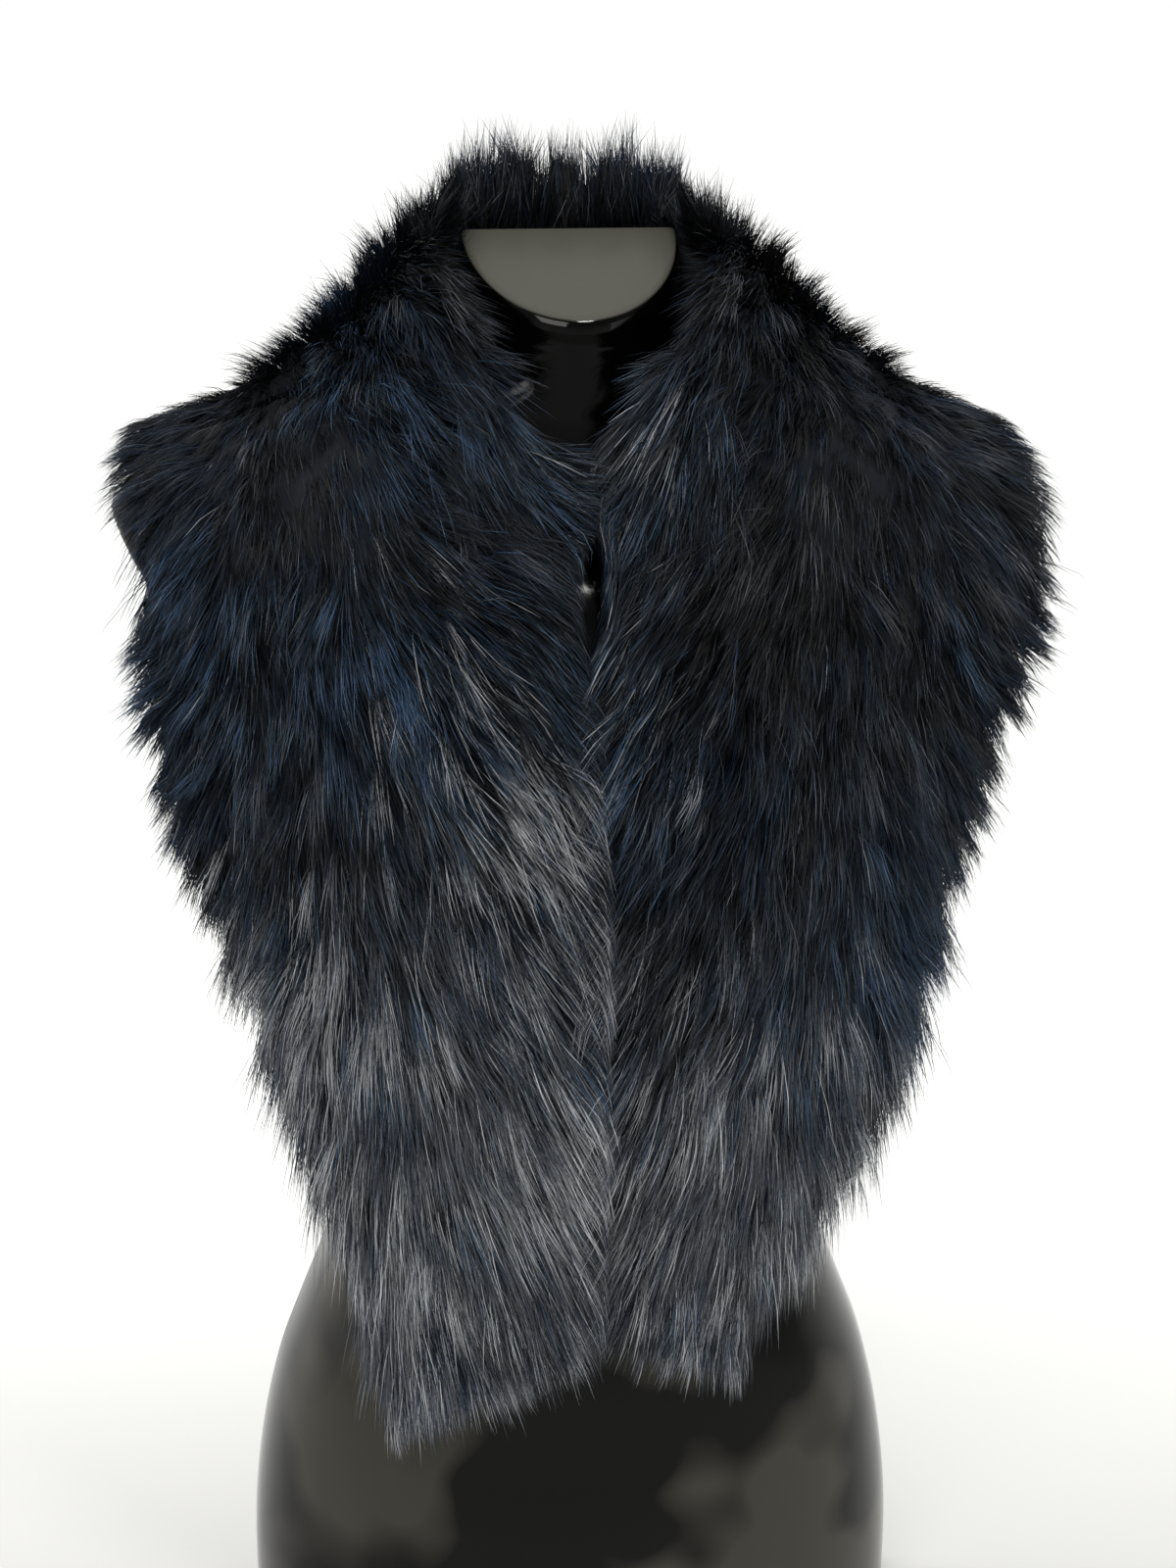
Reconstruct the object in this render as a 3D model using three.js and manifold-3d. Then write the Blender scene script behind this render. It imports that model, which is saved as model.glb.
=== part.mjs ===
// A long-haired fur collar wrap, worn on a half-round display torso with a flat back.
// Millimetres, +Z up. The torso stands on its base, faces -Y, and its middle plane is x = 0.
// Lengths below are from that plane, from the flat back (y) and from the base (z).
// The finished part is then moved so that the origin is under the middle of its box.
// The wrap is two pelts joined behind the neck. Each runs over a shoulder and hangs down the front.
// A fur solid is the pelt with its pile: a plain inner face, and an outer face raised in overlapping locks.

import * as THREE from "three";
import Module from "manifold-3d";

const wasm = await Module();
wasm.setup();

const BASE_DEPTH = 104; // flat back to front, at the base
const NECK_TOP_Z = 660; // the back edge of the neck's cap
const NECK_START_Z = 602; // above this height the rings tilt towards the plane of the cap
const CAP_SLOPE = Math.tan(THREE.MathUtils.degToRad(32));
const CAP_ROUNDING = [[0, 5], [1.2, 1.6], [4, 0]]; // [inset, drop below the cap] of the rounded rim

const ARM_CUT_X = 196; // the arm cut's upper corner, from the middle plane
const ARM_CUT_Z = 541;
const ARM_CUT_SLOPE = 0.55; // how far the flat cut leans inwards for each millimetre down
const ARM_CUT_FOOT_Z = 465; // below this height the torso is narrower than the cut

const TORSO_RINGS = 44;
const TORSO_FRONT_STEPS = 44;

const SEAM_GAP = 0.3;
const SKIN_CLEARANCE = 3; // between the torso and the points of the pelt's inner face
const TRIM_CLEARANCE = 0.5; // fur nearer than this to the torso, between those points, is cut off
const MEETING_X = -8; // the line down the front where the two tails touch, seen from the front
const CLOSURE_Z = 600; // below this height the two sides face each other across that line

const LOCK_LENGTH = 52;
const LOCK_WIDTH = 26;
const LOCK_RISE = 7; // how far a lock's tip stands above its root
const EDGE_RAGGEDNESS = 0.34; // the share of the reach past the pelt's edge that the locks take or give
const TIP_RAGGEDNESS = 13; // the same at the end of a tail, in millimetres
const TIP_TUFT = 9; // the width of the tufts there

const LOCK_STAGGER = 0.38; // how much of a lock's length each column of locks is behind the last
const LOCK_SWEEP = 0.55; // how far the locks lag behind the middle line, for each millimetre to the side
const EDGE_STAGGER = 0.45; // the outer edge's locks against the inner edge's, as a share of a lock's length
const FULL_PILE = 30; // shorter pile than this has lower locks
const PILE_UNDER_LOCKS = 0.93; // the share of the pile's depth that is below the locks
const CROWN_POWER = 0.55; // a section's shoulders are fuller the smaller this is
const EDGE_BLUNT = 0.012; // keeps the edges of a section from closing to nothing
const EDGE_CROWDING = 0.06; // points sit closer together near the edges

const TOP_STEPS = 22; // points across the outer face
const SKIN_STEPS = 8; // points across the inner face
const RINGS_PER_STATION = 4;
const NECK_RINGS_PER_STATION = 3;
const NECK_STATIONS = 5; // the first stations belong to the neck piece, and the rest to the front
const NECK_JOINT_GAP = 0.02; // in stations, a half to two thirds of a millimetre
const PUSH = 0.5; // points that would touch the torso move out in steps of this size
const MAX_PUSHES = 120;

// Torso outline: height, half width, depth of the front, and how square the section is.
const TORSO_COLUMNS = ["z", "halfWidth", "depth", "power"];
const TORSO_ROWS = [
  [0, 154, 104, 2.3],
  [50, 154, 107, 2.3],
  [95, 149, 108, 2.3],
  [135, 140, 105, 2.3],
  [165, 129, 100, 2.3],
  [195, 117, 94, 2.3],
  [225, 108, 90, 2.3],
  [255, 104, 88, 2.3],
  [290, 106, 91, 2.3],
  [330, 113, 99, 2.3],
  [370, 122, 109, 2.4],
  [410, 132, 118, 2.4],
  [445, 143, 123, 2.5],
  [475, 158, 121, 2.7],
  [500, 179, 113, 3.0],
  [520, 195, 104, 3.2],
  [541, 205, 93, 3.2],
  [556, 190, 84, 3.0],
  [570, 158, 77, 2.7],
  [582, 124, 70, 2.4],
  [592, 93, 64, 2.2],
  [602, 71, 60, 2.1],
  [615, 56, 57, 2.0],
  [630, 50, 55, 2.0],
  [645, 48, 54, 2.0],
  [660, 48, 54, 2.0],
].map((row) => named(TORSO_COLUMNS, row));

// A pelt, section by section from the seam behind the neck to the end of the tail.
// ix iy iz is the edge next to the neck and ox oy oz the outer edge, with x away from the middle plane
// and y from the back. bulge bows the section outwards, and pile is the fur's depth.
// inReach and outReach are how far the fur goes past each edge.
const PELT_COLUMNS = ["ix", "iy", "iz", "ox", "oy", "oz", "bulge", "pile", "inReach", "outReach"];
const LEFT_PELT_ROWS = [
  [0.15, 6, 655, 0.15, 14, 505, 0, 36, 30, 28],
  [28, 6, 657, 46, 14, 504, 0, 38, 30, 28],
  [50, 3, 655, 100, 12, 512, 0, 39, 28, 28],
  [62, -10, 648, 150, 8, 540, -10, 36, 24, 26],
  [66, -30, 640, 172, -8, 572, -18, 33, 22, 24],
  [64, -50, 628, 176, -38, 568, -20, 33, 20, 22],
  [57, -66, 610, 176, -64, 548, -10, 35, 20, 22],
  [46, -79, 590, 171, -78, 518, 4, 37, 20, 25],
  [28, -92, 566, 167, -83, 484, 10, 38, 20, 28],
  [28, -104, 535, 163, -84, 448, 12, 38, 18, 26],
  [26, -114, 500, 154, -82, 414, 12, 37, 18, 26],
  [22, -122, 462, 144, -82, 384, 12, 36, 22, 24],
  [19, -125, 424, 132, -84, 350, 12, 34, 23, 22],
  [17, -125, 384, 122, -86, 316, 11, 33, 23, 22],
  [16, -124, 344, 113, -88, 282, 10, 32, 22, 21],
  [16, -123, 304, 102, -91, 248, 9, 31, 21, 20],
  [16, -122, 264, 94, -94, 218, 7, 29, 20, 20],
  [18, -120, 228, 89, -98, 192, 5, 27, 16, 16],
  [20, -117, 192, 92, -102, 156, 3, 8, 6, 6],
].map((row) => named(PELT_COLUMNS, row));
const RIGHT_PELT_ROWS = [
  [0.15, 6, 655, 0.15, 14, 505, 0, 36, 30, 28],
  [28, 6, 655, 46, 14, 505, 0, 38, 30, 28],
  [50, 3, 652, 100, 12, 512, 0, 39, 28, 28],
  [62, -12, 646, 150, 8, 540, -10, 38, 24, 26],
  [66, -32, 638, 174, -8, 568, -16, 36, 22, 24],
  [60, -52, 626, 180, -38, 560, -18, 36, 20, 21],
  [46, -70, 612, 180, -62, 542, -8, 37, 20, 21],
  [30, -82, 594, 176, -76, 512, 4, 39, 20, 22],
  [18, -93, 570, 166, -82, 482, 10, 39, 20, 23],
  [13, -104, 538, 156, -82, 450, 12, 38, 18, 22],
  [13, -114, 500, 149, -81, 418, 12, 37, 18, 21],
  [13, -122, 462, 142, -82, 386, 12, 36, 22, 22],
  [12, -125, 424, 134, -84, 352, 12, 34, 24, 21],
  [11, -125, 384, 124, -86, 318, 11, 33, 24, 20],
  [10, -124, 344, 108, -88, 286, 10, 32, 24, 20],
  [10, -123, 306, 90, -91, 256, 9, 30, 23, 19],
  [10, -122, 270, 74, -94, 230, 7, 28, 21, 18],
  [11, -120, 240, 62, -98, 212, 5, 26, 14, 14],
  [12, -117, 196, 64, -102, 176, 3, 8, 6, 6],
].map((row) => named(PELT_COLUMNS, row));

const furMaterial = new THREE.MeshStandardMaterial({ color: 0x10131b, roughness: 0.85, metalness: 0 });
const torsoMaterial = new THREE.MeshStandardMaterial({ color: 0x0b0b0b, roughness: 0.08, metalness: 0 });

function named(columns, row) {
  return Object.fromEntries(columns.map((name, i) => [name, row[i]]));
}

function fraction(value) {
  return value - Math.floor(value);
}

// Cubic interpolation of every column between the rows of a table, at a place counted in rows.
function rowAt(rows, place) {
  const last = rows.length - 1;
  const i = Math.min(Math.max(Math.floor(place), 0), last - 1);
  const t = place - i;
  const [a, b, c, d] = [rows[Math.max(i - 1, 0)], rows[i], rows[i + 1], rows[Math.min(i + 2, last)]];
  const blended = {};
  for (const name of Object.keys(b)) {
    const start = (c[name] - a[name]) / 2;
    const end = (d[name] - b[name]) / 2;
    const rise = c[name] - b[name];
    blended[name] = b[name] + t * (start + t * (3 * rise - 2 * start - end + t * (start + end - 2 * rise)));
  }
  return blended;
}

// The place in the torso's table, counted in rows, of a height.
function torsoPlace(z) {
  let low = 0;
  let high = TORSO_ROWS.length - 1;
  for (let step = 0; step < 24; step++) {
    const middle = (low + high) / 2;
    if (rowAt(TORSO_ROWS, middle).z < z) low = middle;
    else high = middle;
  }
  return (low + high) / 2;
}

function armCutX(z) {
  return z > ARM_CUT_FOOT_Z ? ARM_CUT_X - (ARM_CUT_Z - z) * ARM_CUT_SLOPE : Infinity;
}

// One D-shaped ring of the torso, from the right back corner round the front to the left one.
// A negative inset makes the ring larger on every side.
function torsoRing(row, inset = 0) {
  const points = [];
  const grown = Math.max(-inset, 0);
  const cut = armCutX(row.z) + grown;
  const tilt = THREE.MathUtils.smoothstep(row.z, NECK_START_Z, NECK_TOP_Z) * CAP_SLOPE;
  for (let i = 0; i <= TORSO_FRONT_STEPS; i++) {
    const angle = (Math.PI * i) / TORSO_FRONT_STEPS;
    const cos = Math.cos(angle);
    const across = Math.sign(cos) * Math.abs(cos) ** (2 / row.power) * (row.halfWidth - inset);
    const forward = Math.sin(angle) ** (2 / row.power) * (row.depth - inset);
    const x = THREE.MathUtils.clamp(across, -cut, cut);
    points.push(new THREE.Vector3(x, grown - forward, row.z - forward * tilt));
  }
  return points;
}

// True where a point, with y from the back, is nearer to the torso than the clearance.
function touchesTorso(point, clearance) {
  if (point.z > NECK_TOP_Z || point.y > clearance) return false;
  const row = rowAt(TORSO_ROWS, torsoPlace(point.z));
  const x = Math.abs(point.x);
  const halfWidth = Math.min(row.halfWidth, armCutX(point.z)) + clearance;
  if (x >= halfWidth) return false;
  const share = 1 - (x / (row.halfWidth + clearance)) ** row.power;
  return -point.y < (row.depth + clearance) * share ** (1 / row.power);
}

// A closed solid from rings of equal length. Each end is a fan round a centre point.
// The faces are turned so that they point outward.
function loft(rings, startCentre, endCentre) {
  const count = rings[0].length;
  const points = [...rings.flat(), startCentre, endCentre];
  const startIndex = points.length - 2;
  const endIndex = points.length - 1;
  const lastRing = (rings.length - 1) * count;
  const faces = [];
  for (let i = 0; i < count; i++) {
    const j = (i + 1) % count;
    for (let here = 0; here < lastRing; here += count) {
      const next = here + count;
      faces.push([here + i, here + j, next + i], [here + j, next + j, next + i]);
    }
    faces.push([i, startIndex, j], [lastRing + i, lastRing + j, endIndex]);
  }
  const volume = faces.reduce((sum, [a, b, c]) => {
    return sum + points[a].dot(new THREE.Vector3().crossVectors(points[b], points[c]));
  }, 0);
  const outward = volume > 0 ? faces : faces.map(([a, b, c]) => [a, c, b]);
  const geometry = new THREE.BufferGeometry();
  const positions = points.flatMap((point) => [point.x, point.y, point.z]);
  geometry.setAttribute("position", new THREE.Float32BufferAttribute(positions, 3));
  geometry.setIndex(outward.flat());
  return geometry;
}

function buildTorso(grown = 0) {
  const rings = [];
  const top = TORSO_ROWS[TORSO_ROWS.length - 1];
  const rimPlace = torsoPlace(NECK_TOP_Z - CAP_ROUNDING[0][1]);
  for (let i = 0; i < TORSO_RINGS; i++) {
    rings.push(torsoRing(rowAt(TORSO_ROWS, (rimPlace * i) / TORSO_RINGS), -grown));
  }
  for (const [inset, drop] of CAP_ROUNDING) {
    const ring = torsoRing(top, inset - grown);
    rings.push(ring.map((point) => point.setZ(point.z + grown - drop)));
  }
  const baseCentre = new THREE.Vector3(0, -BASE_DEPTH / 2, 0);
  const capDepth = top.depth / 2;
  const capCentre = new THREE.Vector3(0, -capDepth, NECK_TOP_Z + grown - capDepth * CAP_SLOPE);
  return loft(rings, baseCentre, capCentre);
}

function toSolid(geometry) {
  const triVerts = new Uint32Array(geometry.getIndex().array);
  const vertProperties = geometry.getAttribute("position").array;
  return new wasm.Manifold(new wasm.Mesh({ numProp: 3, vertProperties, triVerts }));
}

function toGeometry(solid) {
  const { vertProperties, triVerts } = solid.getMesh();
  const geometry = new THREE.BufferGeometry();
  geometry.setAttribute("position", new THREE.BufferAttribute(vertProperties, 3));
  geometry.setIndex(new THREE.BufferAttribute(triVerts, 1));
  return geometry;
}

// How high the overlapping locks stand, 0 to 1: each rises towards its tip and drops to the next one's root.
function lockHeight(along, across) {
  const column = Math.floor(across / LOCK_WIDTH);
  const rib = Math.sin(Math.PI * fraction(across / LOCK_WIDTH));
  return Math.sqrt(rib) * fraction(along / LOCK_LENGTH + LOCK_STAGGER * column);
}

// The pelt's own axes at a section: along its length, across its width and out of its fur.
function peltFrame(rows, place) {
  const middle = (at) => {
    const row = rowAt(rows, at);
    return new THREE.Vector3(row.ix + row.ox, row.iy + row.oy, row.iz + row.oz).divideScalar(2);
  };
  const step = 0.2;
  const row = rowAt(rows, place);
  const inner = new THREE.Vector3(row.ix, row.iy, row.iz);
  const outer = new THREE.Vector3(row.ox, row.oy, row.oz);
  const across = outer.clone().sub(inner);
  const halfWidth = across.length() / 2;
  across.normalize();
  const along = new THREE.Vector3(1, 0, 0);
  if (place > 0) along.subVectors(middle(place + step), middle(place - step)).normalize();
  const out = new THREE.Vector3().crossVectors(along, across).normalize();
  return { row, centre: middle(place), across, out, halfWidth };
}

// The section's outline as [across, out] pairs. It goes over the fur from the inner edge to the outer,
// and back along the skin.
function peltOutline(frame, length) {
  const { row, halfWidth } = frame;
  const locksPassed = length / LOCK_LENGTH;
  const ragged = (phase) => 1 + EDGE_RAGGEDNESS * (fraction(locksPassed + phase) - 0.5);
  const innerTip = -halfWidth - row.inReach * ragged(0);
  const outerTip = halfWidth + row.outReach * ragged(EDGE_STAGGER);
  const skinHeight = (a) => row.bulge * (1 - Math.min(1, Math.abs(a) / halfWidth) ** 2);
  const points = [];
  for (let i = 0; i < TOP_STEPS; i++) {
    const share = i / (TOP_STEPS - 1);
    const a = innerTip + (outerTip - innerTip) * (share - EDGE_CROWDING * Math.sin(2 * Math.PI * share));
    const inside = THREE.MathUtils.clamp(share, EDGE_BLUNT, 1 - EDGE_BLUNT);
    const crown = Math.sin(Math.PI * inside) ** CROWN_POWER;
    const lock = lockHeight(length + Math.abs(a) * LOCK_SWEEP, a);
    const rise = LOCK_RISE * Math.min(1, row.pile / FULL_PILE) * lock;
    points.push([a, skinHeight(a) + (row.pile * PILE_UNDER_LOCKS + rise) * crown]);
  }
  for (let i = 0; i < SKIN_STEPS; i++) {
    const share = 1 - (i + 0.5) / SKIN_STEPS;
    const a = innerTip + (outerTip - innerTip) * share;
    points.push([a, skinHeight(a)]);
  }
  return points;
}

// How much lower than the last row a point at the end of a tail hangs.
function tipHang(across) {
  return TIP_RAGGEDNESS * (fraction(LOCK_STAGGER * Math.round(across / TIP_TUFT)) - 0.5);
}

// The length of the pelt's middle line from the neck seam to a place.
function lengthTo(rows, place) {
  const steps = Math.ceil(place * 4);
  let length = 0;
  let before = peltFrame(rows, 0).centre;
  for (let i = 1; i <= steps; i++) {
    const centre = peltFrame(rows, (place * i) / steps).centre;
    length += before.distanceTo(centre);
    before = centre;
  }
  return length;
}

// A stretch of a pelt between two places in its table. side is 1 for the viewer's right and -1 for the left.
function buildPelt(rows, side, from, to, stepsPerStation) {
  const steps = Math.round((to - from) * stepsPerStation);
  const rings = [];
  const centres = [];
  const limit = side * MEETING_X + SEAM_GAP / 2;
  const tipPlace = rows.length - 1;
  for (let i = 0; i <= steps; i++) {
    const place = from + ((to - from) * i) / steps;
    const frame = peltFrame(rows, place);
    const outline = peltOutline(frame, lengthTo(rows, place));
    const ring = outline.map(([a, n]) => {
      const point = frame.centre.clone().addScaledVector(frame.across, a).addScaledVector(frame.out, n);
      if (place === tipPlace) point.z -= tipHang(a);
      const nearest = point.z < CLOSURE_Z ? limit : SEAM_GAP / 2;
      point.x = Math.max(point.x, nearest);
      for (let push = 0; push < MAX_PUSHES && touchesTorso(point, SKIN_CLEARANCE); push++) {
        point.addScaledVector(frame.out, PUSH);
      }
      return point;
    });
    rings.push(ring);
    const core = frame.row.bulge + frame.row.pile / 2;
    centres.push(frame.centre.clone().addScaledVector(frame.out, core));
  }
  for (const point of [...rings.flat(), centres[0], centres[steps]]) {
    point.x *= side;
  }
  return loft(rings, centres[0], centres[steps]);
}

function addMesh(group, name, geometry, material) {
  const mesh = new THREE.Mesh(geometry, material);
  mesh.name = name;
  group.add(mesh);
}

const group = new THREE.Group();
const clearOfTorso = toSolid(buildTorso(TRIM_CLEARANCE));
addMesh(group, "display_torso", buildTorso(), torsoMaterial);
for (const [label, rows, side] of [["left", LEFT_PELT_ROWS, -1], ["right", RIGHT_PELT_ROWS, 1]]) {
  const neck = buildPelt(rows, side, 0, NECK_STATIONS - NECK_JOINT_GAP, NECK_RINGS_PER_STATION);
  const front = buildPelt(rows, side, NECK_STATIONS, rows.length - 1, RINGS_PER_STATION);
  for (const [piece, geometry] of [["neck", neck], ["front", front]]) {
    const solid = toSolid(geometry).subtract(clearOfTorso);
    addMesh(group, `${piece}_fur_${label}`, toGeometry(solid), furMaterial);
  }
}

const box = new THREE.Box3().setFromObject(group);
group.position.set(-(box.min.x + box.max.x) / 2, -(box.min.y + box.max.y) / 2, 0);

export default group;
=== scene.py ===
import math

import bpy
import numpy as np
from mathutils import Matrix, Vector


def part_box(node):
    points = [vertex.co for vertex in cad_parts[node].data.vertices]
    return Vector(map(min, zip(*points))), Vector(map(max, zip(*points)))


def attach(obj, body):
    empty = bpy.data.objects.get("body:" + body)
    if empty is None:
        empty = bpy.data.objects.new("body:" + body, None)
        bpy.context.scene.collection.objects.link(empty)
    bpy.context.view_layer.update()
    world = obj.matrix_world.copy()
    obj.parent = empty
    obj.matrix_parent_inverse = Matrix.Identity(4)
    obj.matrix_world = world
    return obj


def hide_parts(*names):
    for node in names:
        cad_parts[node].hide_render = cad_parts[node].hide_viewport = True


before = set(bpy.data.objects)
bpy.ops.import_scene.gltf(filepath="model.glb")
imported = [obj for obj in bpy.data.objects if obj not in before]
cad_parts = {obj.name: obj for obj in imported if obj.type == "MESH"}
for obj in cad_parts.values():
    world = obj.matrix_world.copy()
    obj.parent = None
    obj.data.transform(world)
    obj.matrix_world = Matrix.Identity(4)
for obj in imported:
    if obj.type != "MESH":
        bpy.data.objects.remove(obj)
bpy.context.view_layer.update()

# A long-haired fur collar wrap resting on a glossy half-round display torso.
# Lengths in the tables are millimetres from the torso's own planes: x from its middle,
# y from its flat back (the front is negative) and z from its base.

SEED = 41
MM = 0.001
LEFT = -1
RIGHT = 1

# Where the torso's planes lie in the frame, in metres
torso_low, torso_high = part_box("display_torso")
MIDDLE_X = (torso_low[0] + torso_high[0]) / 2
BACK_Y = torso_high[1]

# The torso
NECK_TOP_Z = 660
NECK_START_Z = 602
CAP_SLOPE = math.tan(math.radians(32))
CAP_ROUNDING = ((0.0, 5.0), (0.25, 3.3), (0.8, 1.9), (1.7, 0.8), (2.8, 0.2), (4.2, 0.0))
ARM_CUT_X = 196
ARM_CUT_Z = 541
ARM_CUT_SLOPE = 0.55
ARM_CUT_FOOT_Z = 465
BASE_DEPTH = 104
TORSO_RINGS = 150
TORSO_FRONT_STEPS = 110
CRISP_EDGE = 38

# The torso's finish: black, and dust with painted reflections by the height of a noise, and the satin
# face on top of the neck
DUST_AND_REFLECTION_STOPS = ((0.44, (0.0012, 0.0011, 0.001)), (0.52, (0.06, 0.0565, 0.045)))
# Painted reflection: the cap face's grey stands for the light above reflected in it
CAP_REFLECTION_COLOUR = (0.1, 0.1, 0.083, 1.0)
CAP_ROUGHNESS = 0.3

# The torso by height: half its width, its depth, and the power of its rounded outline
TORSO_COLUMNS = ("z", "half_width", "depth", "power")
TORSO_ROWS = (
    (0, 154, 104, 2.3),
    (50, 154, 107, 2.3),
    (95, 149, 108, 2.3),
    (135, 140, 105, 2.3),
    (165, 129, 100, 2.3),
    (195, 117, 94, 2.3),
    (225, 108, 90, 2.3),
    (255, 104, 88, 2.3),
    (290, 106, 91, 2.3),
    (330, 113, 99, 2.3),
    (370, 122, 109, 2.4),
    (410, 132, 118, 2.4),
    (445, 143, 123, 2.5),
    (475, 158, 121, 2.7),
    (500, 179, 113, 3.0),
    (520, 195, 104, 3.2),
    (541, 205, 93, 3.2),
    (556, 190, 84, 3.0),
    (570, 158, 77, 2.7),
    (582, 124, 70, 2.4),
    (592, 93, 64, 2.2),
    (602, 71, 60, 2.1),
    (615, 56, 57, 2.0),
    (630, 50, 55, 2.0),
    (645, 48, 54, 2.0),
    (660, 48, 54, 2.0),
)

# Between the furs the form's neck runs on further down than its solid's: sizes of those rows, by height
THROAT_DEPTHS = {541: 87, 556: 71, 570: 61, 582: 57.3, 592: 56, 602: 55.1, 615: 54.5, 630: 54.2}
THROAT_HALF_WIDTHS = {602: 61, 615: 52, 630: 49}

# The pelts, section by section from the seam behind the neck to the end of the tail
PELT_COLUMNS = ("ix", "iy", "iz", "ox", "oy", "oz", "bulge", "pile", "in_reach", "out_reach")
LEFT_PELT_ROWS = (
    (0.15, 6, 655, 0.15, 14, 505, 0, 36, 30, 28),
    (28, 6, 657, 46, 14, 504, 0, 38, 30, 28),
    (50, 3, 655, 100, 12, 512, 0, 39, 28, 28),
    (62, -10, 648, 150, 8, 540, -10, 36, 24, 26),
    (66, -30, 640, 172, -8, 572, -18, 33, 22, 24),
    (64, -50, 628, 176, -38, 568, -20, 33, 20, 22),
    (57, -66, 610, 176, -64, 548, -10, 35, 20, 22),
    (46, -79, 590, 171, -78, 518, 4, 37, 20, 25),
    (28, -92, 566, 167, -83, 484, 10, 38, 20, 28),
    (28, -104, 535, 163, -84, 448, 12, 38, 18, 26),
    (26, -114, 500, 154, -82, 414, 12, 37, 18, 26),
    (22, -122, 462, 144, -82, 384, 12, 36, 22, 24),
    (19, -125, 424, 132, -84, 350, 12, 34, 23, 22),
    (17, -125, 384, 122, -86, 316, 11, 33, 23, 22),
    (16, -124, 344, 113, -88, 282, 10, 32, 22, 21),
    (16, -123, 304, 102, -91, 248, 9, 31, 21, 20),
    (16, -122, 264, 94, -94, 218, 7, 29, 20, 20),
    (18, -120, 228, 89, -98, 192, 5, 27, 16, 16),
    (20, -117, 192, 92, -102, 156, 3, 8, 6, 6),
)
RIGHT_PELT_ROWS = (
    (0.15, 6, 655, 0.15, 14, 505, 0, 36, 30, 28),
    (28, 6, 655, 46, 14, 505, 0, 38, 30, 28),
    (50, 3, 652, 100, 12, 512, 0, 39, 28, 28),
    (62, -12, 646, 150, 8, 540, -10, 38, 24, 26),
    (66, -32, 638, 174, -8, 568, -16, 36, 22, 24),
    (60, -52, 626, 180, -38, 560, -18, 36, 20, 21),
    (46, -70, 612, 180, -62, 542, -8, 37, 20, 21),
    (30, -82, 594, 176, -76, 512, 4, 39, 20, 22),
    (18, -93, 570, 166, -82, 482, 10, 39, 20, 23),
    (13, -104, 538, 156, -82, 450, 12, 38, 18, 22),
    (13, -114, 500, 149, -81, 418, 12, 37, 18, 21),
    (13, -122, 462, 142, -82, 386, 12, 36, 22, 22),
    (12, -125, 424, 134, -84, 352, 12, 34, 24, 21),
    (11, -125, 384, 124, -86, 318, 11, 33, 24, 20),
    (10, -124, 344, 108, -88, 286, 10, 32, 24, 20),
    (10, -123, 306, 90, -91, 256, 9, 30, 23, 19),
    (10, -122, 270, 74, -94, 230, 7, 28, 21, 18),
    (11, -120, 240, 62, -98, 212, 5, 26, 14, 14),
    (12, -117, 196, 64, -102, 176, 3, 8, 6, 6),
)
NECK_STATIONS = 5
NECK_JOINT_GAP = 0.02
MEETING_X = -8
CLOSURE_Z = 600
SKIN_CLEARANCE = 3.0
SKIN_THICKNESS = 1.2

# How the hair lies, by place in rows: degrees from the tailward direction at the inner and outer
# edges, degrees that it stands off the skin, the pull of its own weight, and its length as a share
# of the layer's
LIE_COLUMNS = ("place", "inner", "outer", "lean", "sag", "length")
LIE_ROWS = (
    (0, 85, 80, 78, 0.05, 0.9),
    (1, 84, 80, 46, 0.1, 0.8),
    (2, 78, 78, 28, 0.2, 0.7),
    (3, 62, 77, 20, 0.3, 0.62),
    (4, 38, 76, 22, 0.28, 0.68),
    (5, 22, 74, 28, 0.22, 0.76),
    (6, 15, 72, 31, 0.2, 0.8),
    (8, 15, 62, 35, 0.25, 0.84),
    (11, 28, 44, 34, 0.3, 0.92),
    (14, 24, 31, 27, 0.35, 1.04),
    (16, 16, 22, 20, 0.35, 1.03),
    (18, 6, 10, 14, 0.3, 0.95),
)
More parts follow.
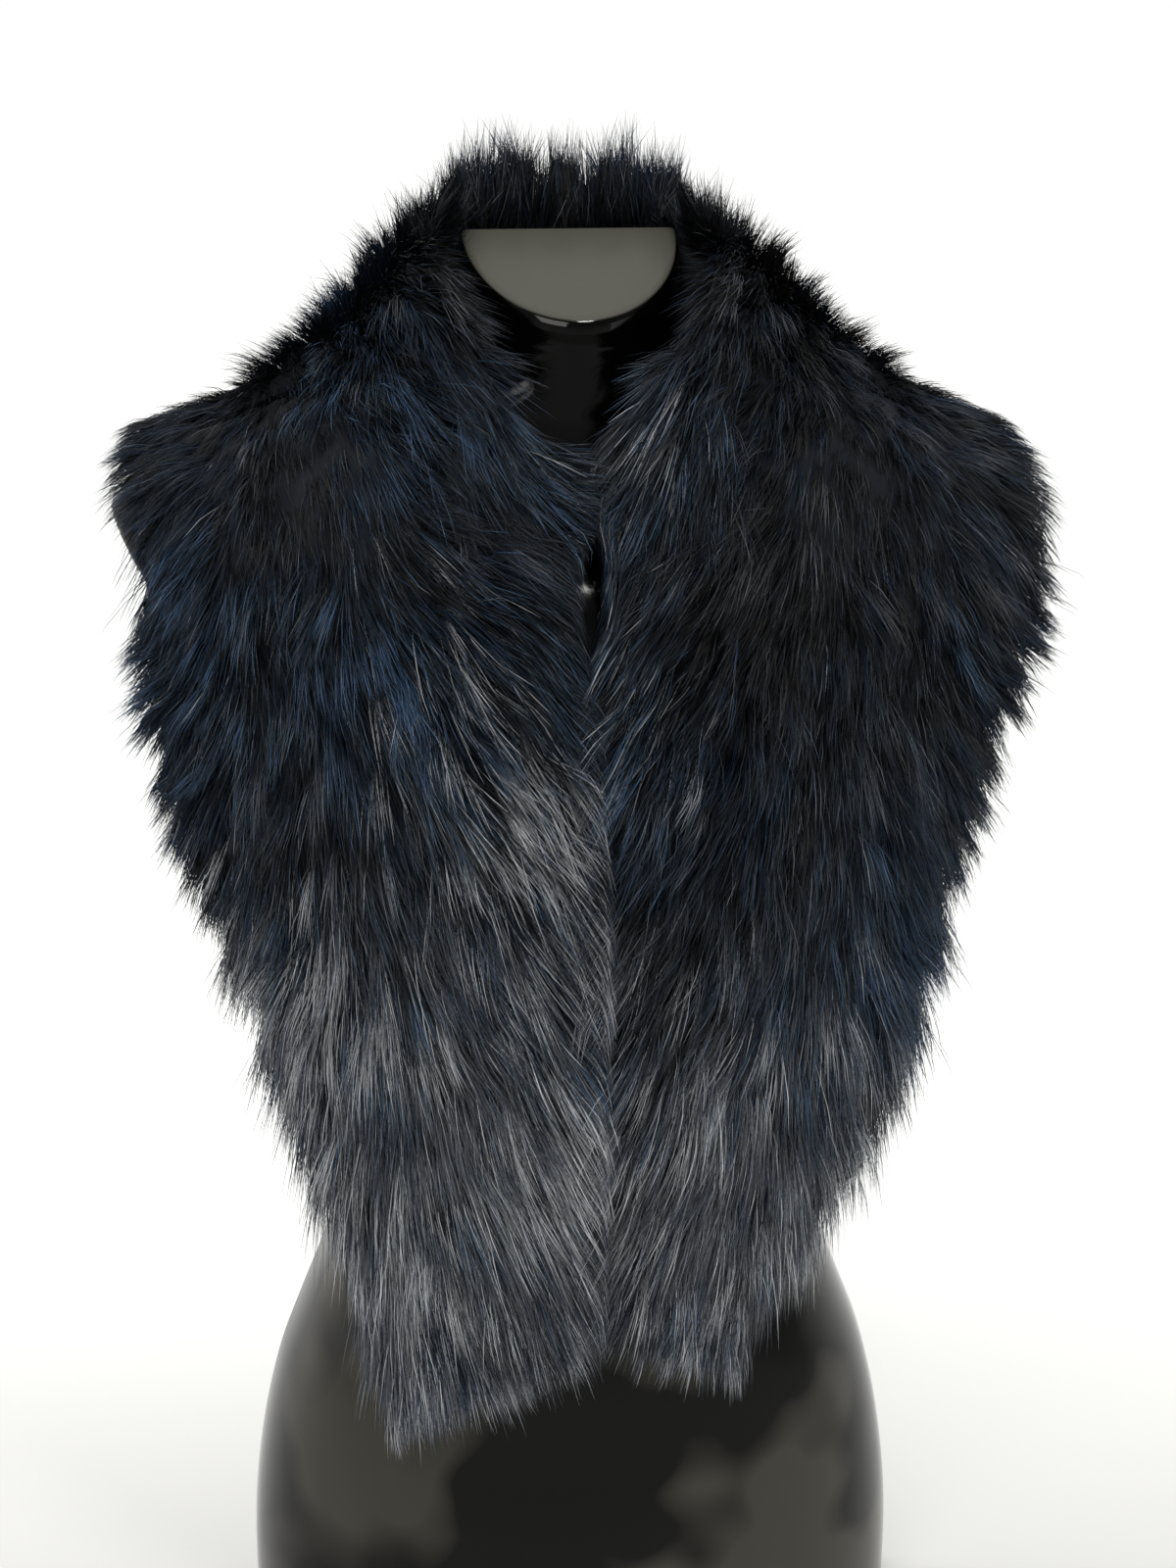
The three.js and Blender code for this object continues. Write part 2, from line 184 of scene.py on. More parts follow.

# Colour patches on the front: middle, size and slant in millimetres as seen from the front, and the
# weight that each colour of hair gains there, the steel-blue one placing painted glints
PATCH_COLUMNS = ("x", "z", "wide", "high", "slant", "navy", "steel_glint", "silver", "brown")
PATCH_ROWS = (
    (-87, 497, 42, 26, 0.2, 1.2, 1.0, 0.0, 0.0),
    (-86, 604, 20, 30, 0.0, 1.0, 0.7, 0.0, 0.0),
    (-163, 541, 26, 30, 0.0, 1.1, 0.1, 0.0, 0.0),
    (-164, 497, 24, 34, 0.0, 1.5, 0.4, 0.1, 0.0),
    (-50, 470, 22, 30, -0.3, 0.2, 0.3, 1.0, 0.0),
    (-30, 400, 24, 60, -0.3, 0.2, 0.2, 1.6, 0.1),
    (-20, 310, 22, 50, 0.0, 0.2, 0.1, 1.3, 0.3),
    (-105, 370, 34, 40, -0.4, 0.5, 0.2, 0.8, 0.2),
    (-71, 250, 36, 40, 0.0, 0.8, 0.1, 0.8, 0.3),
    (38, 598, 14, 34, 0.7, 0.6, 0.5, 0.08, 0.0),
    (-42, 588, 12, 34, -0.66, 0.9, 0.8, 0.0, 0.0),
    (62, 642, 22, 26, 0.0, -0.2, -0.2, -0.4, 0.3),
    (-62, 636, 20, 26, 0.0, -0.1, -0.2, -0.4, 0.2),
    (2, 540, 14, 44, -0.2, 0.4, 0.8, 0.5, 0.0),
    (13, 474, 22, 24, 0.0, 0.8, 1.2, 0.3, 0.0),
    (110, 364, 34, 30, 0.5, 1.2, 0.8, 0.1, 0.0),
    (131, 405, 20, 26, 0.0, 1.2, 0.5, 0.0, 0.0),
    (30, 333, 30, 34, 0.3, 0.2, 0.3, 1.0, 0.5),
    (-80, 190, 34, 26, 0.0, 1.3, 0.3, 0.55, 0.0),
    (35, 219, 30, 26, 0.0, 0.8, 0.2, 0.7, 0.2),
    (82, 529, 50, 50, 0.0, -0.2, -0.1, 0.0, 0.6),
    (-131, 568, 40, 22, 0.0, -0.2, -0.1, 0.0, 0.5),
)
# Hair colours: the steel-blue hair is dyed colour and painted blue glints at once
HAIR_COLOURS = {
    "black": (0.0085, 0.0094, 0.0117),
    "brown": (0.025, 0.0213, 0.0158),
    "navy": (0.019, 0.036, 0.07),
    "steel_glint": (0.075, 0.145, 0.26),
    "slate": (0.13, 0.137, 0.155),
    "silver": (0.62, 0.64, 0.67),
}
COMMON_MIX = {"black": 1.7, "brown": 0.25, "navy": 0.4, "steel_glint": 0.035, "slate": 0.1, "silver": 0.003}

# The hair is greyer and straighter towards the tails: heights between which it changes, how much
# sooner it does so at the outer edge, and what is added
GREY_HEIGHTS = {LEFT: (475, 335), RIGHT: (425, 300)}
GREY_DROP = 0.7
GREY_DROP_FROM_X = 55
GREY_MIX = {"slate": 1.75, "silver": 0.45}

# Behind the torso, where it stands in shade, the hair is painted lighter and more even: where that starts
# and is complete, and what is added
BACK_FROM_Y = 0
BACK_FULL_Y = 14
BACK_LIGHTENING_EVENNESS = 0.7
BACK_LIGHTENING_MIX = {"navy": 0.3, "slate": 0.7}
BACK_STEEL_GLINT = 0.1

# How the shares of some colours drift over the pelts: by how much, and over how many millimetres
DRIFTS = {"navy": (0.7, 70, 20), "steel_glint": (0.9, 34, 21), "silver": (0.8, 45, 22)}
LEAST_WEIGHT = 0.0005

# How bright a hair is from root to tip: dark with light tips, painted glints, in the upper half, even
# below
SHADE_STATIONS = (0.0, 0.38, 0.72, 1.0)
GLINT_TIP_SHADES = (0.25, 0.31, 0.64, 1.25)
EVEN_SHADES = (0.25, 0.75, 1.1, 0.95)

# Hair by layer: count for each pelt, length, root height as a share of the pile, width at the root,
# and the stations along a hair from root to tip
LAYER_COLUMNS = ("name", "front_count", "neck_count", "length", "root", "width", "stations")
LAYERS = (
    ("wool", 41000, 27000, 38, 0.42, 0.42, (0.0, 0.58, 1.0)),
    ("guard", 29500, 19000, 49, 0.36, 0.34, (0.0, 0.38, 0.72, 1.0)),
)

# Where hair grows: how far past the pelt's edges, as shares of its half width and of the reach there,
# and how the roots lie lower at the edges
EDGE_WRAP = 0.3
WRAP_BACK = 0.9
EDGE_MARGIN = 0.45
TAIL_EDGE_MARGIN = 0.2
TAIL_MARGIN_PLACES = (8, 11)
PLACE_JITTER = 0.02
EDGE_LOWERING = 0.5
ROOT_ABOVE_SKIN = 0.3
ROOT_CLEARANCE = 2

# The tufts that hairs lean into: their size along and across the pelt, how much they turn and raise
# the hair in degrees, and how far they draw it in towards the tips
SMALL_TUFT = (7.0, 5.0)
LARGE_TUFT = (24.0, 15.0)
SMALL_TUFT_TURN = 34
LARGE_TUFT_TURN = 26
LARGE_TUFT_STAND = 24
SMALL_TUFT_PULL = (0.72, 1.4)
LARGE_TUFT_PULL = (0.28, 1.6)
GREY_TURN_LOSS = 0.5
GREY_PULL_LOSS = 0.35

# Hairs that follow no tuft: their share, how much it grows at the edges, and how they differ
LOOSE_SHARE = 0.12
LOOSE_AT_EDGE = 0.2
LOOSE_FREEDOM = 0.85
LOOSE_LENGTHENING = 0.12

# Broad swirls in the lie of the hair: degrees, wavelength and seed
SWIRLS = ((14, 80, 40), (9, 30, 41))
HAIR_UNEVENNESS = 6
FAN_POWER = 0.75
EDGE_LAY_DOWN = 0.75
WRAP_TURN_UNDER = 34
ROOT_RISE = 22
TIP_FALL = 16

# How long the hairs are: by tuft, by chance, and where the pile is short
TUFT_LENGTHS = (0.8, 0.3)
CHANCE_LENGTHS = (0.82, 1.12)
SHORT_PILE_LENGTH = 0.35
FULL_PILE = 30
COLLAR_TRIM = 0.3
COLLAR_TRIM_PLACES = (3.5, 2)
LOOSE_TRIM = 0.2
OUTER_TRIM_PLACES = (4.5, 6, 9.5, 12)
OUTER_TRIM = (0.5, 0.34, 0.3, 0)

# The ribbon that a hair is made of: its taper, roll in radians, and spread of widths and brightness
TAPER = 0.45
MOST_ROLL = 0.95
CHANCE_WIDTHS = (0.7, 1.25)
CHANCE_SHADES = (0.7, 1.3)
TUFT_COLOUR_SHARE = 0.55

# The slit below the throat where the form shows between the fronts: how far each side's hair keeps
# back from the line where they meet, by height
SLIT_HEIGHTS = (468, 490, 512, 538, 552, 575, 600)
SLIT_BACK = {LEFT: (0, 4, 8, 8, -3, -10, 0), RIGHT: (0, 6, 18, 19, 13, 9, 0)}
SLIT_FRONT_Y = -40

# Where the hair turns towards the other side below the throat, and by how many degrees
CROSS_PLACES = (7.1, 7.9, 8.6, 9.3)
CROSS_TURN = {LEFT: (0, 36, 36, 0), RIGHT: (0, 4, 4, 0)}

# The end of the left shoulder, bare but for a few hairs: heights, how far out the hair comes there,
# the share of hairs that stray past it, and the least that the others keep of their length
BARE_END_FROM_Z = 508
BARE_END_TO_Z = 546
BARE_END_X = 184
STRAY_SHARE = 0.12
SHORTEST_AT_END = 0.25

# The furthest that hair reaches from the torso's planes, the depth over which it is eased back, and
# the top of the column over the neck that hair keeps out of
HAIR_LOW = (-221.5, -171.0, -50.0)
HAIR_HIGH = (221.5, 66.5, 718.5)
HAIR_EASING = 12.0
HAIR_COLUMN_TOP = 760
SIDE_OVERLAP = 5.0
SIDE_EASING = 0.2
SIDE_GAP = 0.2

# Steps along and across the modelled skin and underfur
SKIN_ROWS_PER_PLACE = 5
SKIN_COLUMNS = 17
UNDERFUR_ROWS_PER_PLACE = 7
UNDERFUR_COLUMNS = (40, 9)

# The underfur: its height as a share of the pile, its reach past the pelt's edges as a share of the
# hair's, its tufts by height, wavelength and seed, and its brightness as a share of black hair's
UNDERFUR_PILE = 0.6
UNDERFUR_REACH = 0.5
UNDERFUR_TUFTS = ((2.2, 15, 3), (2.0, 40, 4))
UNDERFUR_SHADE = 0.8

# How points are pushed clear of the torso: the clearance, the length of a step and the most steps
SKIN_PUSH = (SKIN_CLEARANCE, 0.5, 160)
UNDERFUR_PUSH = (SKIN_CLEARANCE + SKIN_THICKNESS, 0.5, 160)
ROOT_PUSH = (SKIN_CLEARANCE + ROOT_CLEARANCE, 1.0, 90)
HAIR_PUSH = (1.0, 1.5, 30)
COLUMN_PUSH = (-3.0, 1.5, 20)

# The camera, lights and floor, in millimetres, degrees and watts
VIEW_TARGET = (0, -70, 430)
VIEW_DISTANCE = 1200
VIEW_AZIMUTH = -7
VIEW_ELEVATION = 16
LENS = 63.9
SENSOR = 36
CHEST = (0, -80, 430)
LIGHT_COLUMNS = ("name", "place", "target", "size", "watts", "colour")
LIGHT_ROWS = (
    ("key", (-600, -1500, 1750), CHEST, (800, 800), 10, (1.0, 0.98, 0.95)),
    ("lamp", (230, -960, 1900), (0, -100, 520), (260, 80), 5.0, (1.0, 0.99, 0.97)),
    ("fill", (1500, -1300, 900), CHEST, (900, 1300), 3.5, (0.96, 0.98, 1.0)),
    ("above", (0, 80, 2100), (0, 80, 0), (2200, 1700), 9.5, (1.0, 0.985, 0.96)),
)
FLOOR_RINGS = (1.0, 300.0, 900.0, 2500.0, 9000.0)
FLOOR_SIDES = 96


def named(columns, rows):
    return {name: np.array([row[i] for row in rows], float) for i, name in enumerate(columns)}


TORSO = named(TORSO_COLUMNS, TORSO_ROWS)
SHOWN_TORSO = named(TORSO_COLUMNS, [
    (z, THROAT_HALF_WIDTHS.get(z, half_width), THROAT_DEPTHS.get(z, depth), power)
    for z, half_width, depth, power in TORSO_ROWS
])
PELTS = {LEFT: named(PELT_COLUMNS, LEFT_PELT_ROWS), RIGHT: named(PELT_COLUMNS, RIGHT_PELT_ROWS)}
LIE = named(LIE_COLUMNS, LIE_ROWS)
LAST_PLACE = len(LEFT_PELT_ROWS) - 1
SIDE_NAMES = {LEFT: "left", RIGHT: "right"}
STRETCHES = {
    "neck": (0.0, NECK_STATIONS - NECK_JOINT_GAP),
    "front": (float(NECK_STATIONS), float(LAST_PLACE)),
}


def unit(vectors):
    return vectors / np.linalg.norm(vectors, axis=-1, keepdims=True)


def row_at(table, place):
    """Every column of a table at places counted in rows, by cubic interpolation."""
    place = np.asarray(place, float)
    last = len(next(iter(table.values()))) - 1
    i = np.clip(np.floor(place).astype(int), 0, last - 1)
    t = place - i
    picks = (np.maximum(i - 1, 0), i, i + 1, np.minimum(i + 2, last))
    blended = {}
    for name, column in table.items():
        a, b, c, d = (column[pick] for pick in picks)
        start = (c - a) / 2
        end = (d - b) / 2
        rise = c - b
        blended[name] = b + t * (start + t * (3 * rise - 2 * start - end + t * (start + end - 2 * rise)))
    return blended


FINE_PLACES = np.linspace(0, len(TORSO_ROWS) - 1, 1200)
FINE_HEIGHTS = row_at(TORSO, FINE_PLACES)["z"]


def arm_cut_x(z):
    return np.where(z > ARM_CUT_FOOT_Z, ARM_CUT_X - (ARM_CUT_Z - z) * ARM_CUT_SLOPE, 1e6)


def touches_torso(points, clearance, top):
    """True for points below the top that are nearer to the torso than the clearance."""
    x, y, z = np.abs(points[:, 0]), points[:, 1], points[:, 2]
    row = row_at(TORSO, np.interp(z, FINE_HEIGHTS, FINE_PLACES))
    half = np.minimum(row["half_width"], arm_cut_x(z)) + clearance
    share = 1 - np.clip(x / (row["half_width"] + clearance), 0, 1) ** row["power"]
    within = (z < top) & (y < clearance) & (x < half)
    return within & (-y < (row["depth"] + clearance) * share ** (1 / row["power"]))


def push_clear(points, out, clearance, step, most, top=NECK_TOP_Z):
    """Moves the points that touch the torso outward, along their own directions."""
    moved = points.copy()
    active = np.arange(len(moved))
    for _ in range(most):
        active = active[touches_torso(moved[active], clearance, top)]
        if not len(active):
            break
        moved[active] += out[active] * step
    return moved


def pelt_frame(side, place):
    """The pelt's own axes at places along it, with its middle, half width and the table's row."""
    table = PELTS[side]
    place = np.asarray(place, float)

    def ends(at):
        row = row_at(table, at)
        inner = np.stack([row["ix"], row["iy"], row["iz"]], -1)
        outer = np.stack([row["ox"], row["oy"], row["oz"]], -1)
        return inner, outer, row

    inner, outer, row = ends(place)
    span = outer - inner
    half_width = np.linalg.norm(span, axis=-1) / 2
    across = unit(span)
    step = 0.2
    ahead = sum(ends(place + step)[:2])
    behind = sum(ends(place - step)[:2])
    along = unit(ahead - behind)
    along[place <= 0] = (1, 0, 0)
    out = unit(np.cross(along, across))
    along = unit(np.cross(across, out))
    return {"middle": (inner + outer) / 2, "along": along, "across": across, "out": out,
            "half_width": half_width, "row": row}


def bulge_height(bulge, across, half_width):
    """How far the skin bulges out at a distance from the pelt's middle line."""
    return bulge * (1 - np.minimum(1, np.abs(across) / half_width) ** 2)


def skin_height(pelt, across):
    return bulge_height(pelt["row"]["bulge"], across, pelt["half_width"])


def meeting_x(points, side):
    """How far out the line lies where the two sides meet, at the height of each point."""
    return np.where(points[:, 2] < CLOSURE_Z, side * MEETING_X, 0.0)


def keep_to_side(points, side, overlap):
    """Eases points back that cross the plane where the two sides meet."""
    limit = meeting_x(points, side) - overlap
    limit += np.interp(points[:, 2], SLIT_HEIGHTS, SLIT_BACK[side]) * (points[:, 1] < SLIT_FRONT_Y)
    past = points[:, 0] < limit
    points[past, 0] = limit[past] + (points[past, 0] - limit[past]) * SIDE_EASING
    return points


def hold_inside(points):
    """Eases points back that come near the furthest reach of the hair."""
    for axis in range(3):
        for sign, limit in ((-1, HAIR_LOW[axis]), (1, HAIR_HIGH[axis])):
            past = np.maximum(sign * (points[:, axis] - limit) + HAIR_EASING, 0)
            points[:, axis] -= sign * (past - HAIR_EASING * (1 - np.exp(-past / HAIR_EASING)))
    return points


def length_table(side):
    places = np.linspace(0, LAST_PLACE, 361)
    middle = pelt_frame(side, places)["middle"]
    steps = np.linalg.norm(np.diff(middle, axis=0), axis=1)
    return places, np.concatenate([[0], np.cumsum(steps)])


LENGTHS = {side: length_table(side) for side in (LEFT, RIGHT)}


def waves(points, wavelength, seed, count=5):
    """A smooth field from -1 to 1, made of a few crossing sine waves."""
    rng = np.random.default_rng(seed)
    total = np.zeros(len(points))
    for _ in range(count):
        direction = unit(rng.normal(size=points.shape[1]))
        number = 2 * math.pi / wavelength * rng.uniform(0.7, 1.5)
        total += np.sin(points @ direction * number + rng.uniform(0, 2 * math.pi))
    return np.clip(total / (count * 0.55), -1, 1)


def scatter(i, j, seed):
    """An even spread of numbers from 0 to 1, one for each pair of whole numbers."""
    value = np.sin(i * 127.1 + j * 311.7 + seed * 74.7) * 43758.5453
    return value - np.floor(value)


def nearest_tuft(length, across, cell, seed):
    """The tuft that each hair leans to: its middle along and across the pelt, and its chance number."""
    i0 = np.floor(length / cell[0])
    j0 = np.floor(across / cell[1])
    best = np.full(len(length), np.inf)
    found = np.zeros((3, len(length)))
    for di in (-1, 0, 1):
        for dj in (-1, 0, 1):
            i, j = i0 + di, j0 + dj
            s = (i + 0.1 + 0.8 * scatter(i, j, seed)) * cell[0]
            a = (j + 0.1 + 0.8 * scatter(i, j, seed + 5)) * cell[1]
            distance = (length - s) ** 2 + (across - a) ** 2
            closer = distance < best
            best = np.where(closer, distance, best)
            found = np.where(closer, np.stack([s, a, scatter(i, j, seed + 9)]), found)
    return dict(zip(("s", "a", "chance"), found))


def mesh_object(name, points, loops, sizes, material, tint=None):
    """A mesh object in the frame, from points in millimetres and faces as one run of corners."""
    mesh = bpy.data.meshes.new(name)
    placed = points * MM + np.array([MIDDLE_X, BACK_Y, 0.0])
    starts = np.concatenate([[0], np.cumsum(sizes)[:-1]])
    mesh.vertices.add(len(points))
    mesh.vertices.foreach_set("co", placed.astype(np.float32).ravel())
    mesh.loops.add(len(loops))
    mesh.loops.foreach_set("vertex_index", loops.astype(np.int32))
    mesh.polygons.add(len(sizes))
    mesh.polygons.foreach_set("loop_start", starts.astype(np.int32))
    mesh.polygons.foreach_set("use_smooth", np.ones(len(sizes), bool))
    mesh.update(calc_edges=True)
    mesh.validate()
    if tint is not None:
        colours = mesh.color_attributes.new("tint", "FLOAT_COLOR", "POINT")
        colours.data.foreach_set("color", np.c_[tint, np.ones(len(tint))].astype(np.float32).ravel())
    obj = bpy.data.objects.new(name, mesh)
    bpy.context.scene.collection.objects.link(obj)
    mesh.materials.append(material)
    return obj


def grid_faces(rows, columns, wrap):
    """Corners of the quads between neighbouring rows of points."""
    across = columns if wrap else columns - 1
    r, c = np.meshgrid(np.arange(rows - 1), np.arange(across), indexing="ij")
    here = r * columns + c
    beside = r * columns + (c + 1) % columns
    return np.stack([here, beside, beside + columns, here + columns], -1).reshape(-1, 4)


def orient(points, quads):
    """Turns all faces over if they enclose a negative volume."""
    a, b, c, d = (points[quads[:, k]] for k in range(4))
    volume = np.einsum("ij,ij->", a, np.cross(b, c)) + np.einsum("ij,ij->", a, np.cross(c, d))
    return quads if volume > 0 else quads[:, ::-1]


def closed_loft(name, rings, ends, material, tint=None):
    """A closed body from rings of points, with a fan of triangles round a point at each end."""
    count, around = rings.shape[:2]
    points = np.concatenate([rings.reshape(-1, 3), np.array(ends)])
    quads = grid_faces(count, around, True)
    turned = orient(points, quads)
    flipped = turned is not quads
    i = np.arange(around)
    j = (i + 1) % around
    first = np.stack([i, np.full(around, count * around), j], -1)
    last_ring = (count - 1) * around
    last = np.stack([last_ring + i, last_ring + j, np.full(around, count * around + 1)], -1)
    fans = np.concatenate([first, last])
    if flipped:
        fans = fans[:, ::-1]
    loops = np.concatenate([turned.ravel(), fans.ravel()])
    sizes = np.concatenate([np.full(len(turned), 4), np.full(len(fans), 3)])
    return mesh_object(name, points, loops, sizes, material, tint)


def new_material(name):
    material = bpy.data.materials.new(name)
    material.use_nodes = True
    nodes = material.node_tree.nodes
    return material, nodes, material.node_tree.links, nodes["Principled BSDF"]


def spread(nodes, links, value, low, high, to_low, to_high):
    """A node that maps one range of a value to another, and its result."""
    node = nodes.new("ShaderNodeMapRange")
    for name, number in (("From Min", low), ("From Max", high), ("To Min", to_low), ("To Max", to_high)):
        node.inputs[name].default_value = number
    links.new(value, node.inputs["Value"])
    return node.outputs["Result"]


def product(nodes, links, first, second):
    node = nodes.new("ShaderNodeMath")
    node.operation = "MULTIPLY"
    links.new(first, node.inputs[0])
    links.new(second, node.inputs[1])
    return node.outputs["Value"]


def noise(nodes, links, place, scale, detail):
    """A noise over the object's own space, as many cells a metre as its scale, and its value."""
    node = nodes.new("ShaderNodeTexNoise")
    node.inputs["Scale"].default_value = scale
    node.inputs["Detail"].default_value = detail
    links.new(place.outputs["Object"], node.inputs["Vector"])
    return node.outputs["Fac"]


def add_bump(nodes, links, shader, height, strength, distance):
    node = nodes.new("ShaderNodeBump")
    node.inputs["Strength"].default_value = strength
    node.inputs["Distance"].default_value = distance
    links.new(height, node.inputs["Height"])
    links.new(node.outputs["Normal"], shader.inputs["Normal"])


def two_colours(nodes, links, share, stops):
    """A colour ramp between two stops, each a position and a colour."""
    node = nodes.new("ShaderNodeValToRGB")
    for element, (position, colour) in zip(node.color_ramp.elements, stops):
        element.position = position
        element.color = (*colour, 1)
    links.new(share, node.inputs["Fac"])
    return node.outputs["Color"]


def fur_material(name, roughness, glint):
    """Dyed hair with painted glints: each hair's own colour and painted light tips, varied in patches a
    few millimetres across.
    """
    material, nodes, links, shader = new_material(name)
    tint = nodes.new("ShaderNodeVertexColor")
    tint.layer_name = "tint"
    place = nodes.new("ShaderNodeTexCoord")
    vary = spread(nodes, links, noise(nodes, links, place, 140, 3), 0.0, 1.0, 0.55, 1.45)
    mix = nodes.new("ShaderNodeVectorMath")
    mix.operation = "SCALE"
    links.new(tint.outputs["Color"], mix.inputs[0])
    links.new(vary, mix.inputs["Scale"])
    links.new(mix.outputs["Vector"], shader.inputs["Base Color"])
    shader.inputs["Roughness"].default_value = roughness
    shader.inputs["Specular IOR Level"].default_value = glint
    shader.inputs["Specular Tint"].default_value = (0.72, 0.84, 1.0, 1.0)
    return material


def skin_material():
    """Dressed leather, the inner face of the pelts."""
    material, nodes, links, shader = new_material("pelt_leather")
    place = nodes.new("ShaderNodeTexCoord")
    grain = noise(nodes, links, place, 420, 6)
    stops = ((0.0, (0.006, 0.007, 0.01)), (1.0, (0.02, 0.022, 0.03)))
    links.new(two_colours(nodes, links, grain, stops), shader.inputs["Base Color"])
    add_bump(nodes, links, shader, grain, 0.3, 0.0004)
    shader.inputs["Roughness"].default_value = 0.75
    return material


def blend(nodes, links, kind, share, first, second):
    """A node that mixes two numbers or two colours, one of them given as it is, and its result."""
    node = nodes.new("ShaderNodeMix")
    node.data_type = kind
    ending = {"FLOAT": "Float", "RGBA": "Color"}[kind]
    sockets = {socket.identifier: socket for socket in node.inputs}
    links.new(share, sockets["Factor_Float"])
    links.new(first, sockets[f"A_{ending}"])
    sockets[f"B_{ending}"].default_value = second
    return {socket.identifier: socket for socket in node.outputs}[f"Result_{ending}"]


def gloss_material():
    """High-gloss black plastic, smeared in broad soft patches that are dust and painted reflections, with
    a satin cut face on top painted grey as a reflection of the light above.
    """
    material, nodes, links, shader = new_material("black_gloss")
    place = nodes.new("ShaderNodeTexCoord")
    # This noise drives the smears in the roughness and the dust and painted reflection patches in the
    # colour
    smear_and_reflection = noise(nodes, links, place, 10, 2)

    face = nodes.new("ShaderNodeVectorMath")
    face.operation = "DOT_PRODUCT"
    face.inputs[1].default_value = (0.0, -CAP_SLOPE, 1.0)
    links.new(place.outputs["Object"], face.inputs[0])
    level = (NECK_TOP_Z * MM) - BACK_Y * CAP_SLOPE
    cut = spread(nodes, links, face.outputs["Value"], level - 0.0012, level - 0.0006, 0.0, 1.0)
    body_rough = spread(nodes, links, smear_and_reflection, 0.35, 0.7, 0.04, 0.14)
    links.new(blend(nodes, links, "FLOAT", cut, body_rough, CAP_ROUGHNESS), shader.inputs["Roughness"])

    axes = nodes.new("ShaderNodeSeparateXYZ")
    links.new(place.outputs["Object"], axes.inputs["Vector"])
    front = spread(nodes, links, axes.outputs["Y"], BACK_Y - 0.03, BACK_Y - 0.004, 1.0, 0.0)
    below = spread(nodes, links, axes.outputs["Z"], 0.35, 0.5, 1.0, 0.0)
    for share in (front, below):
        smear_and_reflection = product(nodes, links, smear_and_reflection, share)
    # Dust and painted reflections: lighter patches on the front below the neck, and the cap face's
    # painted grey reflection
    dust_and_reflection = two_colours(nodes, links, smear_and_reflection, DUST_AND_REFLECTION_STOPS)
    links.new(blend(nodes, links, "RGBA", cut, dust_and_reflection, CAP_REFLECTION_COLOUR), shader.inputs["Base Color"])
    add_bump(nodes, links, shader, noise(nodes, links, place, 26, 1), 0.12, 0.002)
    shader.inputs["Specular IOR Level"].default_value = 0.22
    return material


def build_torso(material):
    """The display torso: one smooth body, with its solid's rows but for the throat."""
    angle = np.linspace(0, math.pi, TORSO_FRONT_STEPS + 1)
    cos, sin = np.cos(angle), np.sin(angle)

    def ring(place, inset=0.0, drop=0.0):
        row = {name: float(value) for name, value in row_at(SHOWN_TORSO, place).items()}
        across = np.sign(cos) * np.abs(cos) ** (2 / row["power"]) * (row["half_width"] - inset)
        forward = np.clip(sin, 0, 1) ** (2 / row["power"]) * (row["depth"] - inset)
        cut = float(arm_cut_x(row["z"]))
        climb = np.clip((row["z"] - NECK_START_Z) / (NECK_TOP_Z - NECK_START_Z), 0, 1)
        tilt = climb * climb * (3 - 2 * climb) * CAP_SLOPE
        z = row["z"] - forward * tilt - drop
        return np.stack([np.clip(across, -cut, cut), -forward, z], -1)

    rim_place = float(np.interp(NECK_TOP_Z - CAP_ROUNDING[0][1], FINE_HEIGHTS, FINE_PLACES))
    rings = [ring(place) for place in np.linspace(0, rim_place, TORSO_RINGS, endpoint=False)]
    top = len(TORSO_ROWS) - 1
    rings += [ring(top, inset, drop) for inset, drop in CAP_ROUNDING]
    cap_middle = TORSO_ROWS[-1][2] / 2
    ends = ((0, -BASE_DEPTH / 2, 0), (0, -cap_middle, NECK_TOP_Z - cap_middle * CAP_SLOPE))
    torso = closed_loft("torso_shell", np.array(rings), ends, material)
    sharpen(torso, CRISP_EDGE)
    return torso


def sharpen(obj, degrees):
    """Keeps edges sharper than this many degrees crisp under smooth shading."""
    mesh = obj.data
    mesh.update()
    limit = math.cos(math.radians(degrees))
    normals = [p.normal.copy() for p in mesh.polygons]
    by_edge = {}
    for polygon in mesh.polygons:
        for key in polygon.edge_keys:
            by_edge.setdefault(key, []).append(polygon.index)
    for edge in mesh.edges:
        faces = by_edge.get(edge.key, ())
        if len(faces) == 2 and normals[faces[0]].dot(normals[faces[1]]) < limit:
            edge.use_edge_sharp = True


def build_skin(side, stretch, material):
    """The pelt itself, a closed sheet 1.2 mm thick on the form of the solid's inner face."""
    start, end = STRETCHES[stretch]
    rows = int((end - start) * SKIN_ROWS_PER_PLACE) + 1
    place = np.repeat(np.linspace(start, end, rows), SKIN_COLUMNS)
    share = np.tile(np.linspace(-1, 1, SKIN_COLUMNS), rows)
    pelt = pelt_frame(side, place)
    across = share * pelt["half_width"]
    height = skin_height(pelt, across)
    under = pelt["middle"] + pelt["across"] * across[:, None] + pelt["out"] * height[:, None]
    under = push_clear(under, pelt["out"], *SKIN_PUSH)
    under[:, 0] = np.maximum(under[:, 0], meeting_x(under, side) + SIDE_GAP)
    over = under + pelt["out"] * SKIN_THICKNESS
    over, under = (face.reshape(rows, SKIN_COLUMNS, 3) for face in (over, under))
    rings = np.concatenate([over, under[:, ::-1]], 1)
    rings[..., 0] *= side
    ends = (rings[0].mean(0), rings[-1].mean(0))
    return closed_loft(f"{stretch}_skin_{SIDE_NAMES[side]}", rings, ends, material)


